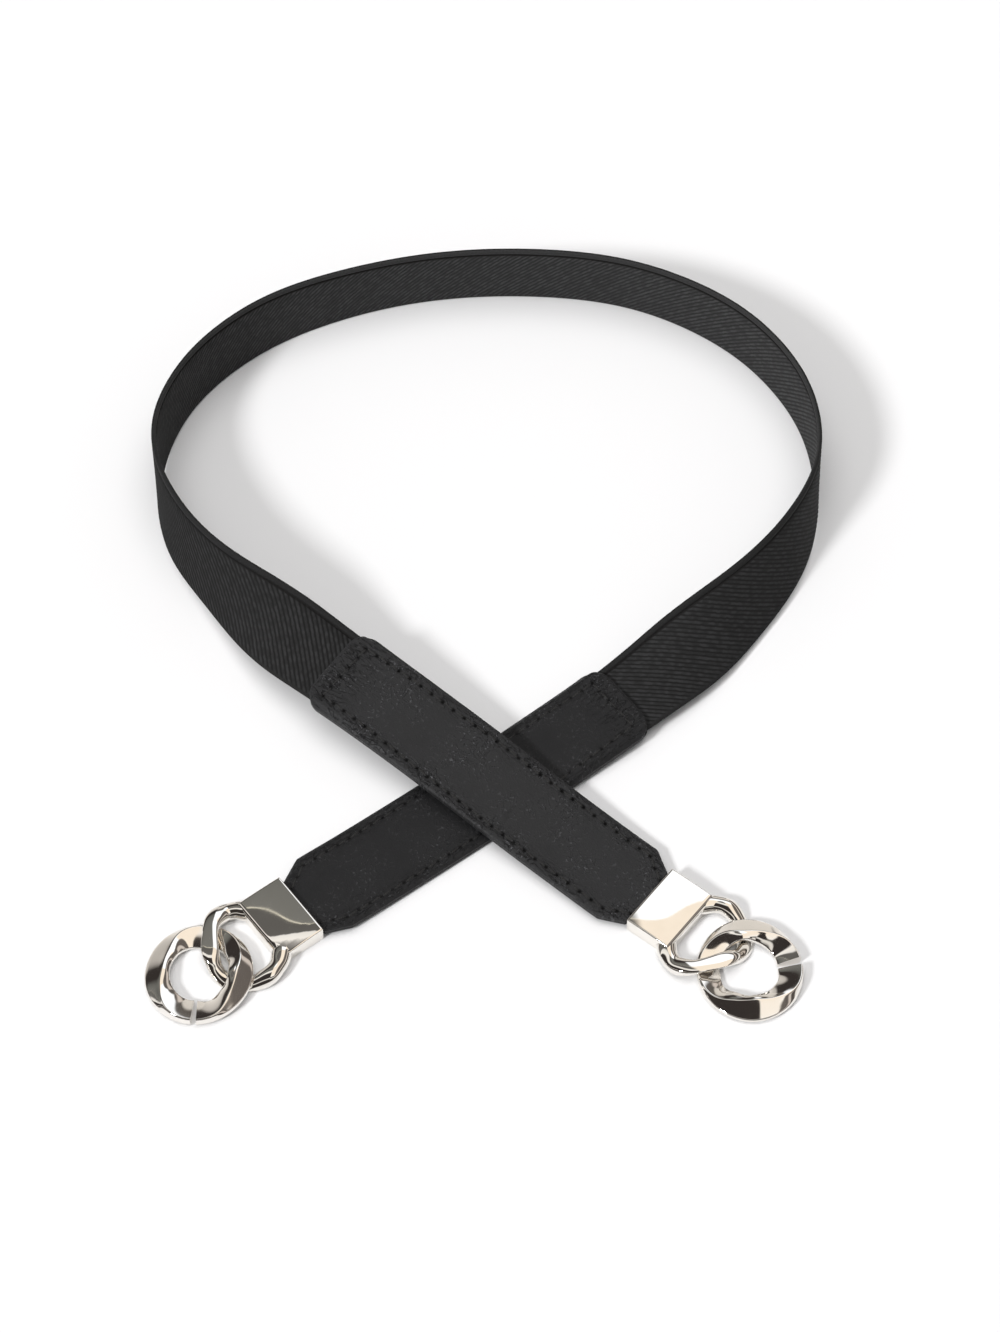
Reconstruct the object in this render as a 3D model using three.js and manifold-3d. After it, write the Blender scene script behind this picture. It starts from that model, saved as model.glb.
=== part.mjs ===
// An elastic waist belt lying on a table, with its two ends crossed in front.
// Millimetres, +Z up. The table is z = 0, and the origin is below the middle of the belt.
//
// The elastic band stands on its edge round the back and turns to lie flat in front. Each end
// of it is sewn between the two leather layers of a tab. Each tab ends in a cast metal clamp,
// whose front carries half a curb link, and a split curb ring is threaded through that half link.

import * as THREE from "three";
import { mergeVertices } from "three/addons/utils/BufferGeometryUtils.js";
import Module from "manifold-3d";

const wasm = await Module();
wasm.setup();

// The elastic band, and the length of it that is hidden inside each tab.
const elastic = { width: 25, thickness: 1.5, tucked: 25, spans: 100 };

// A tab: its visible length runs from the clamp's mouth to the edge that is sewn over the elastic.
// Its two layers close on each other from pinchStart beyond the elastic's edges, and further in
// from rampStart to rampEnd behind the sewn end. Their cut edges are pressed thinner.
const tab = {
  length: 117.5,
  width: 27,
  leather: 1.2,
  edgeShare: 0.8,
  seamGap: 0.3,
  elasticGap: 0.35,
  pinchStart: 0.15,
  rim: 0.3,
  cornerRadius: 3.5,
  taperLength: 8,
  taperWidth: 20.6,
  gripLength: 9,
  gripWidth: 20,
  gripGap: 0.2,
  gripStep: 0.4,
  rampStart: 26,
  rampEnd: 31,
};

// Where the sections are, from the tab's sewn end: those that the tab and the elastic inside it
// share, and those of the plain length of the tab.
const sewnPlaces = [0, 0.4, 1.6, 3.5, 8, 12, 16, 20.5, 25];
const plainPlaces = [41, 52, 63, 74, 85, 97];

// The clamp: a low wedge with a pocket that grips the end of the tab.
const clamp = {
  length: 15,
  width: 22,
  mouthHeight: 5.5,
  frontHeight: 5.1,
  edge: 0.4,
  pocketDepth: 9.5,
  pocketWidth: 20.6,
  pocketHeight: 3.2,
  pocketMiddle: 2.6,
};

// The wire that the half link and the ring are made of, before it is pressed flat to its height.
const wire = { chamfer: 1.1, halfLinkSteps: 40, ringSteps: 56 };

// The half link is thick at its roots, and thins down between thinStart and thinEnd.
const halfLink = {
  rootWidth: 4.6,
  rootDepth: 5.0,
  width: 4.2,
  depth: 3.5,
  thinStart: 18,
  thinEnd: 24.5,
  height: 5.2,
  middle: 2.6,
  lift: 2.5,
  bulge: 12.4,
};

// The half link's middle line in the clamp's own plan, from one root to the other.
// lift is the share of halfLink.lift by which the wire is above or below the middle.
const halfLinkCourse = [
  { away: 12.6, aside: 8.2, lift: 0 },
  { away: 15.5, aside: 11.0, lift: 0 },
  { away: 19.4, aside: 12.6, lift: -0.2 },
  { away: 23.6, aside: 12.0, lift: -0.8 },
  { away: 27.4, aside: 9.9, lift: -1 },
  { away: 30.2, aside: 6.2, lift: -0.95 },
  { away: 31.1, aside: 2.0, lift: -0.25 },
  { away: 29.7, aside: -2.8, lift: 0.85 },
  { away: 26.8, aside: -7.2, lift: 1 },
  { away: 23.6, aside: -11.2, lift: 0.65 },
  { away: 19.4, aside: -12.5, lift: 0.05 },
  { away: 15.6, aside: -10.9, lift: 0 },
  { away: 12.6, aside: -8.2, lift: 0 },
];

// The ring: how far its wire dips where the half link crosses over it and at its slit, and how
// far it rises where it lies over the half link and on its free side. It is wider at both sides
// that rise, and deeper towards deepAngle, away from the half link.
const ring = {
  radius: 12.0,
  width: 6.2,
  wider: 1.4,
  depth: 3.3,
  deeper: 1.3,
  deepAngle: 135,
  height: 5.2,
  crossingDip: 2.4,
  slitDip: 1.2,
  heldRise: 2.7,
  freeRise: 0.6,
  slit: 1.3,
  slitAngle: 184,
};

// The belt's middle line from the left clamp's mouth, round the back, to the right clamp's mouth.
// lean is 0 where the belt stands on its edge and 90 where it lies flat, and the first and
// last rows are inside the clamps.
const course = [
  { along: -10, x: -61.0, y: -105.0, height: 2.6, lean: 90 },
  { along: 0, x: -53.0, y: -99.0, height: 2.6, lean: 90 },
  { along: 8, x: -46.6, y: -94.2, height: 2.5, lean: 90 },
  { along: 21, x: -36.2, y: -86.4, height: 1.9, lean: 90 },
  { along: 51, x: -12.3, y: -68.4, height: 1.5, lean: 90 },
  { along: 81, x: 11.7, y: -50.4, height: 1.9, lean: 90 },
  { along: 91, x: 19.7, y: -44.4, height: 2.6, lean: 90 },
  { along: 101, x: 27.6, y: -38.4, height: 3.2, lean: 90 },
  { along: 117, x: 40.1, y: -28.8, height: 4.5, lean: 89 },
  { along: 132, x: 51.9, y: -19.7, height: 6.7, lean: 81 },
  { along: 147, x: 63.4, y: -10.4, height: 9.1, lean: 60 },
  { along: 162, x: 74.5, y: -0.5, height: 11.4, lean: 38 },
  { along: 176, x: 84.1, y: 9.6, height: 12.8, lean: 27 },
  { along: 191, x: 92.8, y: 21.7, height: 13.6, lean: 19 },
  { along: 221, x: 102.5, y: 49.7, height: 13.4, lean: 2 },
  { along: 251, x: 99.4, y: 79.2, height: 12.7, lean: -1 },
  { along: 281, x: 84.2, y: 104.8, height: 12.6, lean: 0 },
  { along: 321, x: 51.4, y: 127.0, height: 12.6, lean: 4 },
  { along: 367, x: 6.2, y: 133.9, height: 12.6, lean: 5 },
  { along: 413, x: -39.2, y: 126.9, height: 12.6, lean: 4 },
  { along: 453, x: -74.9, y: 109.4, height: 12.6, lean: -1 },
  { along: 483, x: -94.5, y: 87.0, height: 12.8, lean: -2 },
  { along: 513, x: -102.6, y: 58.6, height: 13.7, lean: -2 },
  { along: 543, x: -95.9, y: 29.9, height: 15.1, lean: 11 },
  { along: 573, x: -78.0, y: 6.0, height: 15.2, lean: 25 },
  { along: 588, x: -67.0, y: -4.2, height: 14.6, lean: 46 },
  { along: 603, x: -55.5, y: -13.8, height: 13.8, lean: 70 },
  { along: 618, x: -43.8, y: -23.1, height: 13.0, lean: 82 },
  { along: 641, x: -25.8, y: -37.4, height: 11.3, lean: 87 },
  { along: 671, x: -2.6, y: -55.9, height: 8.1, lean: 88 },
  { along: 691, x: 12.9, y: -68.3, height: 5.3, lean: 89 },
  { along: 711, x: 28.3, y: -80.8, height: 3.5, lean: 90 },
  { along: 727, x: 41.0, y: -91.2, height: 2.7, lean: 90 },
  { along: 735, x: 47.1, y: -96.0, height: 2.6, lean: 90 },
  { along: 745, x: 55.0, y: -102.2, height: 2.6, lean: 90 },
];

// The two clamps: where each mouth is along the belt and in plan, which way it faces, and
// where the ring lies in front of it. linkAside moves the half link along the clamp's front, and
// ringTurn turns the ring about its own middle.
const ends = [
  { side: "left", mouth: 0, inward: 1, x: -53.0, y: -99.0, heading: 217,
    linkAside: 0, ringAway: 34.7, ringAside: -0.9, ringTurn: -134 },
  { side: "right", mouth: 735, inward: -1, x: 47.1, y: -96.0, heading: 322,
    linkAside: -1.0, ringAway: 36.7, ringAside: -1.5, ringTurn: -137 },
];

const materials = {
  elastic: new THREE.MeshStandardMaterial({ color: 0x1c1c1d, roughness: 0.85, metalness: 0 }),
  leather: new THREE.MeshStandardMaterial({ color: 0x202021, roughness: 0.55, metalness: 0 }),
  metal: new THREE.MeshStandardMaterial({ color: 0xd8d4cd, roughness: 0.08, metalness: 1 }),
};

const vertical = new THREE.Vector3(0, 0, 1);

// Half the stretch over which a direction of travel is measured, along the belt and round a ring.
const feel = { along: 0.5, angle: 0.01 };

// The side of a slab that is wider than any piece of the hardware.
const slabSide = 100;

// The slope of one column of the course at one of its rows.
function courseSlope(column, row) {
  const rise = (i) => (course[i + 1][column] - course[i][column]) / (course[i + 1].along - course[i].along);
  if (row === 0) {
    return rise(0);
  }
  if (row === course.length - 1) {
    return rise(row - 1);
  }
  const before = course[row].along - course[row - 1].along;
  const after = course[row + 1].along - course[row].along;
  return (rise(row - 1) * after + rise(row) * before) / (before + after);
}

// One column of the course at any distance along the belt, as a smooth curve through its rows.
function courseValue(column, along) {
  let row = 0;
  while (row < course.length - 2 && course[row + 1].along < along) {
    row += 1;
  }
  const start = course[row];
  const end = course[row + 1];
  const span = end.along - start.along;
  const t = (along - start.along) / span;
  const leaving = courseSlope(column, row) * span;
  const arriving = courseSlope(column, row + 1) * span;
  const ease = t * t * (3 - 2 * t);
  return (
    start[column] * (1 - ease) + end[column] * ease
    + leaving * t * (1 - t) * (1 - t) - arriving * t * t * (1 - t)
  );
}

// A place on the belt. across points from its bottom edge to its top edge, and outward from the
// face that is against the body, so it points up where the belt lies flat in front.
function beltFrame(along) {
  const point = (at) => new THREE.Vector3(
    courseValue("x", at), courseValue("y", at), courseValue("height", at));
  const travel = point(along + feel.along).sub(point(along - feel.along)).normalize();
  const inside = vertical.clone().cross(travel).normalize();
  const up = travel.clone().cross(inside);
  const lean = THREE.MathUtils.degToRad(courseValue("lean", along));
  const across = up.multiplyScalar(Math.cos(lean)).addScaledVector(inside, Math.sin(lean));
  const outward = travel.clone().cross(across);
  return { centre: point(along), across, outward };
}

// A place on a link's wire. across points away from the middle of the link, tipped up by roll.
function wireFrame(centre, travel, roll) {
  const level = vertical.clone().cross(travel).normalize();
  const up = travel.clone().cross(level);
  const across = level.clone().multiplyScalar(Math.cos(roll)).addScaledVector(up, Math.sin(roll));
  const outward = up.multiplyScalar(Math.cos(roll)).addScaledVector(level, -Math.sin(roll));
  return { centre, across, outward };
}

// A closed body through a row of profiles, one on each frame. A profile is a list of points
// [across, outward] that run anticlockwise as seen from the far end.
function sweep(frames, profiles, joinedEnds) {
  const sides = profiles[0].length;
  const positions = frames.flatMap((frame, i) => profiles[i].flatMap(([across, outward]) =>
    frame.centre.clone()
      .addScaledVector(frame.across, across)
      .addScaledVector(frame.outward, outward)
      .toArray()));
  const faces = [];
  const spans = joinedEnds ? frames.length : frames.length - 1;
  for (let i = 0; i < spans; i += 1) {
    const here = i * sides;
    const there = ((i + 1) % frames.length) * sides;
    for (let j = 0; j < sides; j += 1) {
      const k = (j + 1) % sides;
      faces.push(here + j, here + k, there + k, here + j, there + k, there + j);
    }
  }
  if (!joinedEnds) {
    const last = (frames.length - 1) * sides;
    const capOf = (profile) => THREE.ShapeUtils.triangulateShape(
      profile.map(([across, outward]) => new THREE.Vector2(across, outward)), []);
    capOf(profiles[0]).forEach(([a, b, c]) => faces.push(a, c, b));
    capOf(profiles[frames.length - 1]).forEach(([a, b, c]) => faces.push(last + a, last + b, last + c));
  }
  const geometry = new THREE.BufferGeometry();
  geometry.setAttribute("position", new THREE.Float32BufferAttribute(positions, 3));
  geometry.setIndex(faces);
  geometry.computeVertexNormals();
  return geometry;
}

// A geometry as a solid that can be joined and cut, and a solid as a geometry again.
function solidOf(geometry) {
  const bare = geometry.clone();
  bare.deleteAttribute("normal");
  bare.deleteAttribute("uv");
  const merged = mergeVertices(bare, 1e-4);
  return new wasm.Manifold(new wasm.Mesh({
    numProp: 3,
    vertProperties: merged.attributes.position.array,
    triVerts: Uint32Array.from(merged.index.array),
  }));
}

function geometryOf(solid) {
  const mesh = solid.getMesh();
  const geometry = new THREE.BufferGeometry();
  geometry.setAttribute("position", new THREE.BufferAttribute(mesh.vertProperties, 3));
  geometry.setIndex(new THREE.BufferAttribute(mesh.triVerts, 1));
  geometry.computeVertexNormals();
  return geometry;
}

function boxSolid(size, centre) {
  return solidOf(new THREE.BoxGeometry(...size).translate(...centre));
}

function elasticGeometry() {
  const from = ends[0].mouth + tab.length;
  const to = ends[1].mouth - tab.length;
  const places = [
    ...sewnPlaces.map((place) => from - place).reverse(),
    ...Array.from({ length: elastic.spans - 1 }, (_, i) => from + ((to - from) * (i + 1)) / elastic.spans),
    ...sewnPlaces.map((place) => to + place),
  ];
  const face = elastic.thickness / 2;
  const columns = [-0.5, -0.25, 0.25, 0.5].map((share) => share * elastic.width);
  const lower = columns.map((across) => [across, -face]);
  const upper = columns.map((across) => [across, face]).reverse();
  const frames = places.map(beltFrame);
  return sweep(frames, frames.map(() => [...lower, ...upper]), false);
}

// Half the width of a tab at a distance from its clamp's mouth: it is narrow inside the clamp,
// tapers in front of it, and has rounded corners at the end that is sewn over the elastic.
function tabHalfWidth(distance) {
  const toEnd = tab.length - distance;
  if (distance <= tab.gripGap) {
    return tab.gripWidth / 2;
  }
  if (distance < tab.taperLength) {
    return THREE.MathUtils.lerp(tab.taperWidth, tab.width, distance / tab.taperLength) / 2;
  }
  if (toEnd < tab.cornerRadius) {
    const inset = tab.cornerRadius - toEnd;
    return tab.width / 2 - tab.cornerRadius + Math.sqrt(tab.cornerRadius ** 2 - inset ** 2);
  }
  return tab.width / 2;
}

// How far a layer's inner face is from the belt's middle: the layers part around the elastic
// and meet beyond it, and along both of their long edges.
function layerOffset(distance, across) {
  const toEnd = tab.length - distance;
  const closed = tab.seamGap / 2;
  const open = elastic.thickness / 2 + tab.elasticGap;
  const ramp = THREE.MathUtils.smoothstep(toEnd, tab.rampStart, tab.rampEnd);
  const clear = elastic.width / 2 + tab.pinchStart;
  const edge = THREE.MathUtils.smoothstep(Math.abs(across), clear, tab.width / 2);
  return closed + (open - closed) * (1 - ramp) * (1 - edge);
}

// One leather layer of a tab. layerSide is 1 for the outer face and -1 for the lining.
function tabLayerGeometry(end, layerSide) {
  const { length, taperLength, gripLength, gripGap, gripStep, rampStart, rampEnd } = tab;
  const { leather, edgeShare, pinchStart, rim } = tab;
  const fromEnd = [...sewnPlaces, rampStart, (rampStart + rampEnd) / 2, rampEnd, ...plainPlaces];
  const fromMouth = [taperLength, gripGap + gripStep, gripGap, -gripLength];
  const distances = [...fromEnd.map((place) => length - place), ...fromMouth];
  const ordered = end.inward > 0 ? distances.reverse() : distances;
  const frames = ordered.map((distance) => beltFrame(end.mouth + end.inward * distance));
  const profiles = ordered.map((distance) => {
    const half = tabHalfWidth(distance);
    const shoulder = Math.min(half - rim, elastic.width / 2 + pinchStart);
    const columns = [-half, -shoulder, -half / 2, half / 2, shoulder, half];
    const inner = columns.map((across) => [across, layerSide * layerOffset(distance, across)]);
    const outer = columns.map((across) => {
      const thickness = Math.abs(across) === half ? leather * edgeShare : leather;
      return [across, layerSide * (layerOffset(distance, across) + thickness)];
    });
    const [lower, upper] = layerSide > 0 ? [inner, outer] : [outer, inner];
    return [...lower, ...upper.reverse()];
  });
  return sweep(frames, profiles, false);
}

function wireProfile(width, depth) {
  const across = width / 2;
  const outward = depth / 2;
  const cut = wire.chamfer;
  return [
    [across, cut - outward], [across, outward - cut], [across - cut, outward], [cut - across, outward],
    [-across, outward - cut], [-across, cut - outward], [cut - across, -outward], [across - cut, -outward],
  ];
}

// Half a curb link in the clamp's own plan: the side at minus Y rises, and the side at plus Y sinks.
function halfLinkSolid(linkAside) {
  const { rootWidth, rootDepth, width, depth, thinStart, thinEnd } = halfLink;
  const { height, middle, lift: fullLift, bulge } = halfLink;
  const path = new THREE.CatmullRomCurve3(halfLinkCourse.map(({ away, aside, lift }) =>
    new THREE.Vector3(away, aside + linkAside, middle + lift * fullLift)));
  const frames = [];
  const profiles = [];
  for (let i = 0; i <= wire.halfLinkSteps; i += 1) {
    const share = i / wire.halfLinkSteps;
    const centre = path.getPointAt(share);
    const roll = Math.atan((2 * (centre.z - middle)) / bulge);
    const thin = THREE.MathUtils.smoothstep(centre.x, thinStart, thinEnd);
    frames.push(wireFrame(centre, path.getTangentAt(share), roll));
    profiles.push(wireProfile(
      THREE.MathUtils.lerp(rootWidth, width, thin), THREE.MathUtils.lerp(rootDepth, depth, thin)));
  }
  const link = solidOf(sweep(frames, profiles, false));
  return link.intersect(boxSolid([slabSide, slabSide, height], [0, 0, height / 2]));
}

// The clamp and its half link are one casting. Its own X runs away from the tab.
function clampGeometry(linkAside) {
  const { length, width, mouthHeight, frontHeight, edge } = clamp;
  const side = new THREE.Shape([
    new THREE.Vector2(0, 0), new THREE.Vector2(length, 0),
    new THREE.Vector2(length, frontHeight), new THREE.Vector2(0, mouthHeight),
  ]);
  const block = new THREE.ExtrudeGeometry(side, {
    depth: width - 2 * edge, bevelSize: edge, bevelThickness: edge, bevelOffset: -edge, bevelSegments: 1,
  });
  block.rotateX(Math.PI / 2).translate(0, width / 2 - edge, 0);
  const { pocketDepth, pocketWidth, pocketHeight, pocketMiddle } = clamp;
  const pocket = boxSolid(
    [2 * pocketDepth, pocketWidth, pocketHeight], [0, 0, pocketMiddle]);
  return geometryOf(solidOf(block).add(halfLinkSolid(linkAside)).subtract(pocket));
}

// A curb ring is bent like a saddle, low at its own plus X, where the half link crosses over it,
// and at minus X, where it is slit. It is high at minus Y, where it lies over the half link, and
// at plus Y, and it is pressed flat above and below.
function ringGeometry() {
  const { radius, width, wider, depth, deeper, height, slit } = ring;
  const { crossingDip, slitDip, heldRise, freeRise } = ring;
  const deepAngle = THREE.MathUtils.degToRad(ring.deepAngle);
  const slitAngle = THREE.MathUtils.degToRad(ring.slitAngle);
  const middle = height / 2;
  const point = (angle) => {
    const cos = Math.cos(angle);
    const sin = Math.sin(angle);
    const dip = cos > 0 ? crossingDip : slitDip;
    const rise = sin > 0 ? freeRise : heldRise;
    return new THREE.Vector3(radius * cos, radius * sin, middle - dip * cos * cos + rise * sin * sin);
  };
  const frames = [];
  const profiles = [];
  for (let i = 0; i < wire.ringSteps; i += 1) {
    const angle = (-2 * Math.PI * i) / wire.ringSteps;
    const travel = point(angle - feel.angle).sub(point(angle + feel.angle)).normalize();
    const centre = point(angle);
    frames.push(wireFrame(centre, travel, Math.atan((2 * (centre.z - middle)) / radius)));
    profiles.push(wireProfile(
      width + wider * Math.sin(angle) ** 2, depth + (deeper * (1 + Math.cos(angle - deepAngle))) / 2));
  }
  const link = solidOf(sweep(frames, profiles, true));
  const slab = boxSolid([slabSide, slabSide, height], [0, 0, middle]);
  const cut = new THREE.BoxGeometry(2 * radius, slit, 3 * height);
  cut.translate(radius, 0, 0).rotateZ(slitAngle);
  return geometryOf(link.intersect(slab).subtract(solidOf(cut)));
}

const belt = new THREE.Group();

function addPiece(parent, name, geometry, material) {
  const mesh = new THREE.Mesh(geometry, material);
  mesh.name = name;
  parent.add(mesh);
  return mesh;
}

addPiece(belt, "elastic_band", elasticGeometry(), materials.elastic);

for (const end of ends) {
  addPiece(belt, `${end.side}_tab_face`, tabLayerGeometry(end, 1), materials.leather);
  addPiece(belt, `${end.side}_tab_lining`, tabLayerGeometry(end, -1), materials.leather);

  const hardware = new THREE.Group();
  hardware.position.set(end.x, end.y, 0);
  hardware.rotation.z = THREE.MathUtils.degToRad(end.heading);
  addPiece(hardware, `${end.side}_clamp`, clampGeometry(end.linkAside), materials.metal);
  const link = addPiece(hardware, `${end.side}_ring`, ringGeometry(), materials.metal);
  link.position.set(end.ringAway, end.ringAside, 0);
  link.rotation.z = THREE.MathUtils.degToRad(end.ringTurn);
  belt.add(hardware);
}

export default belt;
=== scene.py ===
# The elastic waist belt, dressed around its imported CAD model: ribbed elastic, stitched leather
# tabs, polished clamps with half links, and split curb rings.
# Shapes are worked out in millimetres and turned to metres as each piece is finished.

import math

import bmesh
import bpy
import numpy as np
from mathutils import Matrix, Vector


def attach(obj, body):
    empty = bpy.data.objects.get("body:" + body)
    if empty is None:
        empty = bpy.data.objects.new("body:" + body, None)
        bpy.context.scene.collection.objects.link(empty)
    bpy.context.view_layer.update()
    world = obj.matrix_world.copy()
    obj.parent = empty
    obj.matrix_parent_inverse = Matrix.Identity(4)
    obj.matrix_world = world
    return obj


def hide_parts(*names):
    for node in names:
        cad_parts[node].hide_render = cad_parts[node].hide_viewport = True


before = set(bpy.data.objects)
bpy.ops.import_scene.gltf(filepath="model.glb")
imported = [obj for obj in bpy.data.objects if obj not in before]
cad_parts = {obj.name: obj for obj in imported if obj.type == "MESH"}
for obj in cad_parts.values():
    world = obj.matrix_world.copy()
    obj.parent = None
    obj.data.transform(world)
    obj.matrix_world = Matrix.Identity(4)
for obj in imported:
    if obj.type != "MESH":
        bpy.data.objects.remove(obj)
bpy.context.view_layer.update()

metre = 0.001  # one millimetre in metres
scene = bpy.context.scene
scene.view_settings.view_transform = "Standard"

# camera
viewpoint = {
    "place": (0.0041, -0.63635, 0.89124),
    "target": (0.0041, -0.0123, 0.0),
    "lens": 129.6,
    "sensor": 36.0,
}

cameraData = bpy.data.cameras.new("camera")
cameraData.lens = viewpoint["lens"]
cameraData.sensor_width = viewpoint["sensor"]
cameraData.sensor_fit = "HORIZONTAL"
camera = bpy.data.objects.new("camera", cameraData)
camera.location = viewpoint["place"]
sight = Vector(viewpoint["target"]) - Vector(viewpoint["place"])
camera.rotation_euler = sight.to_track_quat("-Z", "Y").to_euler()
scene.collection.objects.link(camera)
scene.camera = camera
print("camera placed")

# the belt's course
beltLength = 735.0  # from clamp mouth to clamp mouth
courseEvening = {
    "clear": 20.0,  # the course stays as it is this near to a clamp's mouth
    "reach": 10.0,  # and is evened out over this far each way beyond that
    "weights": {-1.0: 0.12, -0.5: 0.22, 0.0: 0.32, 0.5: 0.22, 1.0: 0.12},
}
# The middle line from the left clamp's mouth, round the back, to the right clamp's mouth: how far
# along, the place in plan, the height above the table, and the lean, which is 0 where the belt
# stands on its edge and 90 degrees where it lies flat.
beltCourse = np.array([
    (-10, -61.0, -105.0, 2.6, 90), (0, -53.0, -99.0, 2.6, 90), (8, -46.6, -94.2, 2.5, 90),
    (21, -36.2, -86.4, 1.9, 90), (51, -12.3, -68.4, 1.5, 90), (81, 11.7, -50.4, 1.9, 90),
    (91, 19.7, -44.4, 2.6, 90), (101, 27.6, -38.4, 3.2, 90), (117, 40.1, -28.8, 4.5, 89),
    (132, 51.9, -19.7, 6.7, 81), (147, 63.4, -10.4, 9.1, 60), (162, 74.5, -0.5, 11.4, 38),
    (176, 84.1, 9.6, 12.8, 27), (191, 92.8, 21.7, 13.6, 19), (221, 102.5, 49.7, 13.4, 2),
    (251, 99.4, 79.2, 12.7, -1), (281, 84.2, 104.8, 12.6, 0), (321, 51.4, 127.0, 12.6, 4),
    (367, 6.2, 133.9, 12.6, 5), (413, -39.2, 126.9, 12.6, 4), (453, -74.9, 109.4, 12.6, -1),
    (483, -94.5, 87.0, 12.8, -2), (513, -102.6, 58.6, 13.7, -2), (543, -95.9, 29.9, 15.1, 11),
    (573, -78.0, 6.0, 15.2, 25), (588, -67.0, -4.2, 14.6, 46), (603, -55.5, -13.8, 13.8, 70),
    (618, -43.8, -23.1, 13.0, 82), (641, -25.8, -37.4, 11.3, 87), (671, -2.6, -55.9, 8.1, 88),
    (691, 12.9, -68.3, 5.3, 89), (711, 28.3, -80.8, 3.5, 90), (727, 41.0, -91.2, 2.7, 90),
    (735, 47.1, -96.0, 2.6, 90), (745, 55.0, -102.2, 2.6, 90),
])
courseStep = np.diff(beltCourse[:, 0])
courseRise = np.diff(beltCourse, axis=0) / courseStep[:, None]
courseSlope = np.vstack([
    courseRise[:1],
    (courseRise[:-1] * courseStep[1:, None] + courseRise[1:] * courseStep[:-1, None])
    / (courseStep[:-1] + courseStep[1:])[:, None],
    courseRise[-1:],
])


def rowsAt(along):
    # the rows of the course at any distances along the belt, on smooth curves through its rows
    row = np.clip(np.searchsorted(beltCourse[:, 0], along) - 1, 0, len(beltCourse) - 2)
    span = courseStep[row][:, None]
    t = (along - beltCourse[row, 0])[:, None] / span
    ease = t * t * (3 - 2 * t)
    bow = courseSlope[row] * (1 - t) - courseSlope[row + 1] * t
    return beltCourse[row] * (1 - ease) + beltCourse[row + 1] * ease + bow * span * t * (1 - t)


def courseAt(along):
    # the same, evened out where the belt runs free of its clamps
    clear, reach = courseEvening["clear"], courseEvening["reach"]
    spread = np.clip(np.minimum(along - clear, beltLength - clear - along), 0, reach)
    return sum(weight * rowsAt(along + shift * spread)
               for shift, weight in courseEvening["weights"].items())


def unit(vectors):
    return vectors / np.linalg.norm(vectors, axis=1)[:, None]


def smoothstep(value, low, high):
    t = np.clip((value - low) / (high - low), 0.0, 1.0)
    return t * t * (3 - 2 * t)


def pointsOf(mesh):
    points = np.empty(len(mesh.vertices) * 3)
    mesh.vertices.foreach_get("co", points)
    return points.reshape(-1, 3)


def markPoints(mesh, name, values):
    # a number on each point, for a material to read
    mesh.attributes.new(name, "FLOAT", "POINT").data.foreach_set("value", values)


def keepFlatPlaces(mesh):
    # a UV map of the flat piece, in metres along and across, for patterns that follow the belt
    corner = np.empty(len(mesh.loops), dtype=np.int32)
    mesh.loops.foreach_get("vertex_index", corner)
    places = pointsOf(mesh)[corner, :2] * metre
    mesh.uv_layers.new(name="flat").data.foreach_set("uv", places.ravel())


def bendOntoBelt(mesh):
    # flat (along, across, outward) in millimetres to the belt's own place in metres
    flat = pointsOf(mesh)
    ahead = 0.5  # millimetres each way over which the direction of travel is read
    here = courseAt(flat[:, 0])
    travel = unit(courseAt(flat[:, 0] + ahead)[:, 1:4] - courseAt(flat[:, 0] - ahead)[:, 1:4])
    inside = unit(np.cross((0.0, 0.0, 1.0), travel))
    lean = np.radians(here[:, 4:5])
    across = np.cross(travel, inside) * np.cos(lean) + inside * np.sin(lean)
    place = here[:, 1:4] + across * flat[:, 1:2] + np.cross(travel, across) * flat[:, 2:3]
    mesh.vertices.foreach_set("co", (place * metre).ravel())
    mesh.update()


# materials
def colour(code):
    # an sRGB hex colour as linear RGBA
    parts = [int(code[i:i + 2], 16) / 255 for i in (1, 3, 5)]
    return tuple(p / 12.92 if p <= 0.04045 else ((p + 0.055) / 1.055) ** 2.4 for p in parts) + (1.0,)


def addNode(tree, kind, inputs, **settings):
    # an input is a fixed value, a socket, or a node that stands for its first output
    node = tree.nodes.new("ShaderNode" + kind)
    for name, value in settings.items():
        setattr(node, name, value)
    for key, value in inputs.items():
        if isinstance(value, bpy.types.Node):
            value = value.outputs[0]
        if isinstance(value, bpy.types.NodeSocket):
            tree.links.new(value, node.inputs[key])
        else:
            node.inputs[key].default_value = value
    return node


def newMaterial(name):
    material = bpy.data.materials.new(name)
    material.use_nodes = True
    tree = material.node_tree
    tree.nodes.clear()
    shader = addNode(tree, "BsdfPrincipled", {})
    addNode(tree, "OutputMaterial", {"Surface": shader})
    return material, tree, shader


elasticLook = {
    "width": 25.0,
    "start": 92.5,  # the band's ends are sewn 25 mm deep inside the tabs
    "end": 642.5,
    "ribPitch": 1.97,  # along the belt
    "ribShear": 1.0966,  # how far a rib runs along for each millimetre across
    "ribHeight": 0.17,
    "waver": 1.6,  # the length in which a rib wavers by up to a tenth of a pitch
    "dash": 3.6,  # gives dashes 2.4 mm long on a rib
    "ribsOff": 0.8,  # how far the ribbed part's middle lies below the band's
    "ribsEnd": (10.5, 10.9),  # between these distances from that middle the ribs give way
    "groove": 10.25,  # from the band's middle up to the groove, and how far out its painted shade fades
    "grooveFade": (0.3, 0.6),
    "threads": 1800.0,  # to the metre in the plain edges, 0.56 mm apart
}


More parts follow.
